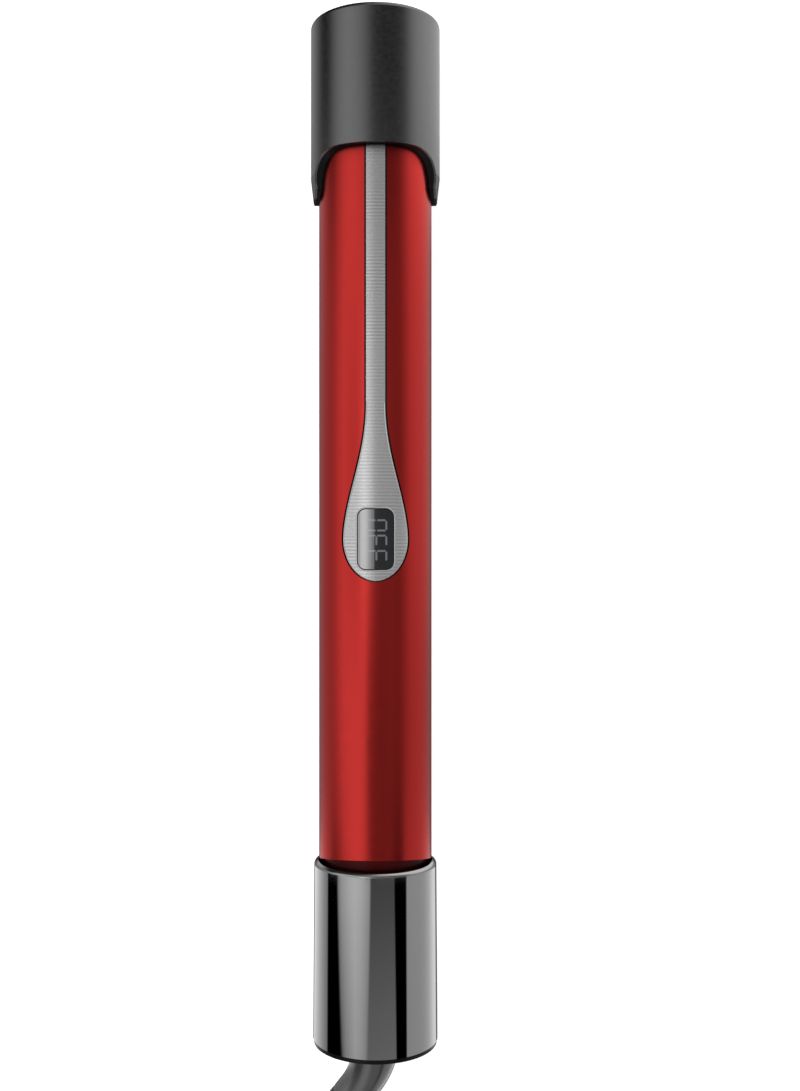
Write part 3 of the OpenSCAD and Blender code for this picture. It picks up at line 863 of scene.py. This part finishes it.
def plug_metal():
    """Nickel pins, each with a black sleeve on the half next to the plug."""
    p = Paint("plug_pins", (0.72, 0.70, 0.67), 0.2, 1.0)
    sleeve = p.span(p.axis("Y"), PLUG[0].y - 9.6 * MM, PLUG[0].y - 9.5 * MM, 0, 1)
    scratches = p.noise(1, 3, p.stretched((3000, 300, 3000)))
    p.paint(p.mix(sleeve, p.tint(scratches, 0.88, 1.08), (0.015, 0.015, 0.016)))
    p.link(p.span(sleeve, 0, 1, 1, 0), p.shader, "Metallic")
    p.rough(p.span(sleeve, 0, 1, 0.2, 0.42))
    p.bump(scratches, 0.002 * MM)
    return p.mat


def make_materials():
    return {
        "red_shell": red_shell(),
        "cool_tip": cool_tip(),
        "black_chrome": black_chrome(),
        "black_plastic": plain("black_plastic", (0.006, 0.006, 0.007), 0.2, depth=0.002,
                               specular_ior_level=0.25),
        "frame_plastic": frame_plastic(),
        "silver_inlay": brushed_silver(),
        "polished_edge": plain("polished_edge", (0.95, 0.95, 0.96), 0.14, 0.85, depth=0.001, vary=0.03),
        "dark_window": dark_glass(),
        "white_plastic": plain("white_plastic", (0.75, 0.75, 0.73), 0.45, vary=0.04),
        "circuit_board": circuit_board(),
        "dark_parts": plain("dark_parts", (0.03, 0.03, 0.032), 0.5),
        "steel": brushed("steel", (0.6, 0.6, 0.61), 0.25),
        "brass": brushed("brass", (0.72, 0.52, 0.2), 0.28),
        "plate_coating": plate_coating(),
        "ceramic": plain("ceramic", (0.78, 0.76, 0.7), 0.6, vary=0.05, depth=0.02),
        "copper_bead": plain("copper_bead", (0.6, 0.32, 0.12), 0.35, 1.0),
        "silicone": plain("silicone", (0.45, 0.12, 0.07), 0.55, grain=1500, subsurface_weight=0.1),
        "cord_rubber": cord_rubber(),
        "tie_strap": woven_strap(),
        "plug_shell": plain("plug_shell", (0.028, 0.028, 0.03), 0.34, depth=0.006),
        "plug_metal": plug_metal(),
    }


SLOT_OF = {
    "red_shell": ["lower_shell", "upper_shell"],
    "cool_tip": ["lower_tip_half", "upper_tip_half"],
    "black_chrome": ["collar"],
    "black_plastic": ["base_cap", "brush_holder", "power_button", "plus_button", "minus_button",
                      "swivel_drum"],
    "frame_plastic": ["lower_frame", "upper_frame"],
    "silver_inlay": ["inlay"],
    "dark_window": ["display_window"],
    "white_plastic": ["display_module", "lower_leads", "upper_leads"],
    "circuit_board": ["power_board", "control_board"],
    "dark_parts": ["board_parts", "button_switches"],
    "steel": ["hinge_pin", "opening_spring", "lower_screws", "upper_screws",
              "lower_heater_clip", "upper_heater_clip"],
    "brass": ["contact_brushes", "slip_rings"],
    "plate_coating": ["lower_plate", "upper_plate"],
    "ceramic": ["lower_heater", "upper_heater"],
    "copper_bead": ["lower_sensor", "upper_sensor"],
    "silicone": ["lower_cushions", "upper_cushions"],
    "plug_metal": ["plug_pins"],
}
BEVELLED = {"lower_plate": 0.25, "upper_plate": 0.25, "lower_heater": 0.15, "upper_heater": 0.15,
            "display_module": 0.15, "board_parts": 0.12, "button_switches": 0.12, "power_board": 0.08,
            "control_board": 0.08}


def dress_cad_nodes(materials):
    for slot_name, nodes in SLOT_OF.items():
        for node in nodes:
            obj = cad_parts[node]
            obj.data.materials.clear()
            obj.data.materials.append(materials[slot_name])
            obj.data.shade_smooth()
            obj.data.set_sharp_from_angle(angle=math.radians(28))
            if node in BEVELLED:
                weld = obj.modifiers.new("weld", "WELD")
                weld.merge_threshold = 0.00001
                bevel = obj.modifiers.new("bevel", "BEVEL")
                bevel.width = BEVELLED[node] * MM
                bevel.segments = 3
                bevel.limit_method = "ANGLE"
                bevel.angle_limit = math.radians(50)
                bevel.harden_normals = True


# ---- light and floor ---------------------------------------------------------------------------

# How bright the studio is, by the angle round the iron's axis from straight up to the right: as the
# collar's two ends, the barrel's two ends and middle, the tip and the tip's rounded edge mirror it.
COLLAR_LOW = [(-180, 0.03), (-163, 0.05), (-156, 0.9), (-145, 0.85), (-126, 0.62), (-111, 0.4),
              (-100, 0.26), (-97.5, 0), (-75, 0), (-71, 0.22), (-64, 0.32), (-48, 0.42), (-38, 0.5),
              (-26, 0.46), (-14, 0.38), (-9.5, 0.3), (-6.5, 0.205), (35.6, 0.22), (37.6, 0), (60, 0),
              (62, 0.37), (93, 0.41), (105, 0.46), (118, 0.58), (136, 0.9), (150, 0.95), (158, 0.1),
              (180, 0.03)]
COLLAR_HIGH = [(-180, 0.03), (-163, 0.05), (-156, 1), (-145, 1), (-126, 0.68), (-111, 0.43),
               (-100, 0.28), (-97.5, 0), (-75, 0), (-71, 0.33), (-64, 0.5), (-48, 0.66), (-38, 0.72),
               (-26, 0.66), (-14, 0.5), (-9.5, 0.42), (-6.5, 0.085), (35.6, 0.088), (37.6, 0), (60, 0),
               (62, 0.4), (93, 0.43), (105, 0.48), (118, 0.62), (136, 0.97), (150, 1), (158, 0.1),
               (180, 0.03)]
BARREL_LOW = [(-180, 0.05), (-165, 0.08), (-154, 0.2), (-140, 0.27), (-113, 0.27), (-100, 0.28),
              (-88, 0.34), (-78, 0.48), (-68, 0.62), (-58, 0.64), (-49, 0.67), (-40, 0.65), (-32, 0.63),
              (-24, 0.57), (-18, 0.48), (-15, 0.1), (1, 0.12), (18, 0.13), (34, 0.175), (52, 0.155),
              (61, 0.2), (71, 0.27), (81, 0.315), (93, 0.333), (106, 0.34), (121, 0.31), (141, 0.27),
              (158, 0.12), (180, 0.05)]
BARREL_MIDDLE = [(-180, 0.05), (-165, 0.08), (-154, 0.2), (-140, 0.27), (-113, 0.27), (-100, 0.28),
                 (-88, 0.34), (-77, 0.5), (-67, 0.56), (-58, 0.47), (-50, 0.38), (-36, 0.38),
                 (-31, 0.5), (-26, 0.8), (-22, 1), (-15, 1), (-9, 0.72), (-3, 0.4), (5, 0.24),
                 (14, 0.19), (30, 0.19), (44, 0.14), (53, 0.13), (62, 0.23), (72, 0.35), (83, 0.42),
                 (94, 0.45), (123, 0.45), (142, 0.38), (158, 0.15), (180, 0.05)]
BARREL_HIGH = [(-180, 0.05), (-165, 0.08), (-154, 0.2), (-140, 0.3), (-113, 0.29), (-100, 0.29),
               (-88, 0.34), (-77, 0.51), (-67, 0.61), (-37, 0.6), (-29, 0.53), (-22, 0.55), (-15, 0.43),
               (-7, 0.3), (1, 0.22), (9, 0.25), (17, 0.26), (26, 0.21), (43, 0.205), (52, 0.18),
               (61, 0.24), (71, 0.35), (81, 0.43), (93, 0.48), (121, 0.47), (140, 0.42), (158, 0.15),
               (180, 0.05)]
TIP_LOOK = [(-180, 0.5), (-155, 0.44), (-133, 0.42), (-117, 0.19), (-106, 0.03), (-92, 0.01),
            (-84, 0.15), (-75, 0.34), (-66, 0.5), (-50, 0.66), (-41, 0.62), (-27, 0.48), (-13, 0.25),
            (-6, 0.09), (2, 0.02), (16, 0), (36, 0), (46, 0.04), (54, 0.12), (62, 0.31), (70, 0.51),
            (80, 0.67), (100, 0.82), (126, 0.91), (180, 0.75)]
CROWN_EDGE = [(-180, 0.05), (-110, 0.02), (-60, 0.05), (-35, 0.15), (0, 0.36), (40, 0.55), (70, 0.8),
              (120, 0.9), (180, 0.5)]
# The looks, each with how steeply along the iron it is mirrored; they blend from one to the next.
STUDIO = [(-0.378, COLLAR_LOW), (-0.25, COLLAR_HIGH), (-0.2405, COLLAR_HIGH), (-0.2365, BARREL_LOW),
          (-0.095, BARREL_LOW), (0.01, BARREL_MIDDLE), (0.085, BARREL_MIDDLE), (0.19, BARREL_HIGH),
          (0.23, BARREL_HIGH), (0.31, TIP_LOOK), (0.46, TIP_LOOK), (0.62, CROWN_EDGE)]
# How far the whole studio is turned to the left round the iron, in degrees.
STUDIO_TURN = 1.4
# A ramp's grey of 0 to 1 stands for a lean over this many degrees.
LEAN_SPAN = 60
# The collar's stripes lean: how far, in degrees, they move from its top to its bottom.
STRIPE_LEAN = [(-100, 0), (-58, 14.5), (-44, 6), (-14.5, -6.7), (15, 0), (39, 4), (60, 0)]


def angle_ramp(tree, angle, stops):
    """A grey ramp over the whole turn."""
    ramp = tree.nodes.new("ShaderNodeValToRGB")
    tree.links.new(angle, ramp.inputs["Fac"])
    elements = ramp.color_ramp.elements
    while len(elements) > 1:
        elements.remove(elements[0])
    for i, (degrees, value) in enumerate(stops):
        place = (degrees + 180) / 360
        if i == 0:
            elements[0].position = place
        element = elements[0] if i == 0 else elements.new(place)
        element.color = (value, value, value, 1)
    return ramp.outputs["Color"]


def make_world():
    """A soft studio: bright tables and cards with dark gaps, the way they show in the chrome."""
    world = bpy.data.worlds.new("studio")
    bpy.context.scene.world = world
    world.use_nodes = True
    tree = world.node_tree
    tree.nodes.clear()

    coords = tree.nodes.new("ShaderNodeTexCoord")
    split = tree.nodes.new("ShaderNodeSeparateXYZ")
    tree.links.new(coords.outputs["Generated"], split.inputs["Vector"])
    turn = math_node(tree, "ARCTAN2", split.outputs["X"], split.outputs["Z"])
    place = math_node(tree, "MULTIPLY", turn, 0.5 / math.pi)
    place = math_node(tree, "ADD", place, 0.5 + STUDIO_TURN / 360)
    along = split.outputs["Y"]

    def share(low, high):
        """0 to 1 as the direction along the iron goes from low to high."""
        return math_node(tree, "DIVIDE", math_node(tree, "SUBTRACT", along, low), high - low, clamp=True)

    lean = angle_ramp(tree, place, [(degrees, 0.5 + move / LEAN_SPAN) for degrees, move in STRIPE_LEAN])
    lean = math_node(tree, "SUBTRACT", lean, 0.5)
    lean = math_node(tree, "MULTIPLY", lean, share(STUDIO[1][0], STUDIO[0][0]))
    lean = math_node(tree, "MULTIPLY", lean, LEAN_SPAN / 360)
    place = math_node(tree, "SUBTRACT", place, lean)
    look = angle_ramp(tree, place, STUDIO[0][1])
    for (low, _), (high, stops) in zip(STUDIO, STUDIO[1:]):
        blend = tree.nodes.new("ShaderNodeMix")
        blend.data_type = "RGBA"
        tree.links.new(share(low, high), blend.inputs["Factor"])
        tree.links.new(look, blend.inputs[6])
        tree.links.new(angle_ramp(tree, place, stops), blend.inputs[7])
        look = blend.outputs[2]
    reflected = tree.nodes.new("ShaderNodeBackground")
    tree.links.new(look, reflected.inputs["Color"])
    seen = tree.nodes.new("ShaderNodeBackground")
    seen.inputs["Color"].default_value = (0.93, 0.935, 0.94, 1)
    path = tree.nodes.new("ShaderNodeLightPath")
    choose = tree.nodes.new("ShaderNodeMixShader")
    tree.links.new(path.outputs["Is Camera Ray"], choose.inputs["Fac"])
    tree.links.new(reflected.outputs["Background"], choose.inputs[1])
    tree.links.new(seen.outputs["Background"], choose.inputs[2])
    out = tree.nodes.new("ShaderNodeOutputWorld")
    tree.links.new(choose.outputs["Shader"], out.inputs["Surface"])


def make_light(name, place, size, watts):
    """A soft box that lights matt surfaces and is not mirrored in the bright ones."""
    data = bpy.data.lights.new(name, "AREA")
    data.size = size
    data.energy = watts
    light = bpy.data.objects.new(name, data)
    light.location = place
    light.rotation_euler = (-Vector(place)).to_track_quat("-Z", "Y").to_euler()
    light.visible_glossy = False
    bpy.context.scene.collection.objects.link(light)


# The soft box that shows in the left half of the display window, in strips: the angles between
# which each is mirrored, from straight up to the left, and its brightness.
WINDOW_STRIPS = [(1, 5, 1.5), (5, 8, 2.0), (8, 11, 2.6), (11, 14, 3.2), (14, 18, 4.3), (18, 23, 5.1),
                 (23, 29, 5.1), (29, 37, 3.5), (37, 50, 2.6)]


def make_window_light(receivers):
    """A soft box of upright strips that lights the display window alone."""
    shown = bpy.data.collections.new("display_window_light")
    for obj in receivers:
        shown.objects.link(obj)
    middle = (WINDOW[0] + WINDOW[1]) / 2
    distance = 0.6
    length = 0.8
    for i, (start, end, glow) in enumerate(WINDOW_STRIPS):
        turn = math.radians((start + end) / 2 + STUDIO_TURN)
        data = bpy.data.lights.new(f"window_light_{i + 1}", "AREA")
        data.shape = "RECTANGLE"
        data.size = 2 * distance * math.tan(math.radians(end - start) / 2)
        data.size_y = length
        data.energy = glow * math.pi * data.size * length
        light = bpy.data.objects.new(data.name, data)
        light.location = middle + distance * Vector((-math.sin(turn), 0, math.cos(turn)))
        light.rotation_euler = (0, -turn, 0)
        light.light_linking.receiver_collection = shown
        bpy.context.scene.collection.objects.link(light)


def make_floor():
    p = Paint("white_table", (0.9, 0.9, 0.9), 0.6, emission_color=(1, 1, 1, 1), emission_strength=0.75)
    p.paint(p.tint(p.noise(8, 2), 0.99, 1.0))
    half = 1.5
    floor = mesh_object("floor", [(-half, -half, 0), (half, -half, 0), (half, half, 0), (-half, half, 0)],
                        [(0, 1, 2, 3)], smooth=False)
    floor.location.z = -0.1 * MM
    floor.data.materials.append(p.mat)
    floor.visible_glossy = False
    bpy.context.scene.collection.objects.link(floor)


# ---- the scene ---------------------------------------------------------------------------------

make_camera()
MATERIALS = make_materials()
cord, cord_route = make_cord(MATERIALS["cord_rubber"])
boot = make_boot(MATERIALS["cord_rubber"])
tie_pieces = make_tie(cord_route, MATERIALS["tie_strap"])
plug = make_plug(MATERIALS["plug_shell"])
figures = make_figures(figure_grey())
make_bezel(MATERIALS["polished_edge"], MATERIALS["black_plastic"])
make_inlay_edge(MATERIALS["polished_edge"])
make_marks(MATERIALS["white_plastic"])
dress_cad_nodes(MATERIALS)
make_world()
make_light("key_light", (-0.4, 0.1, 0.7), 0.5, 3)
make_light("fill_light", (0.5, -0.2, 0.6), 0.6, 1.5)
make_window_light([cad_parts["display_window"], *figures])
make_floor()
bpy.context.scene.view_settings.view_transform = "Standard"
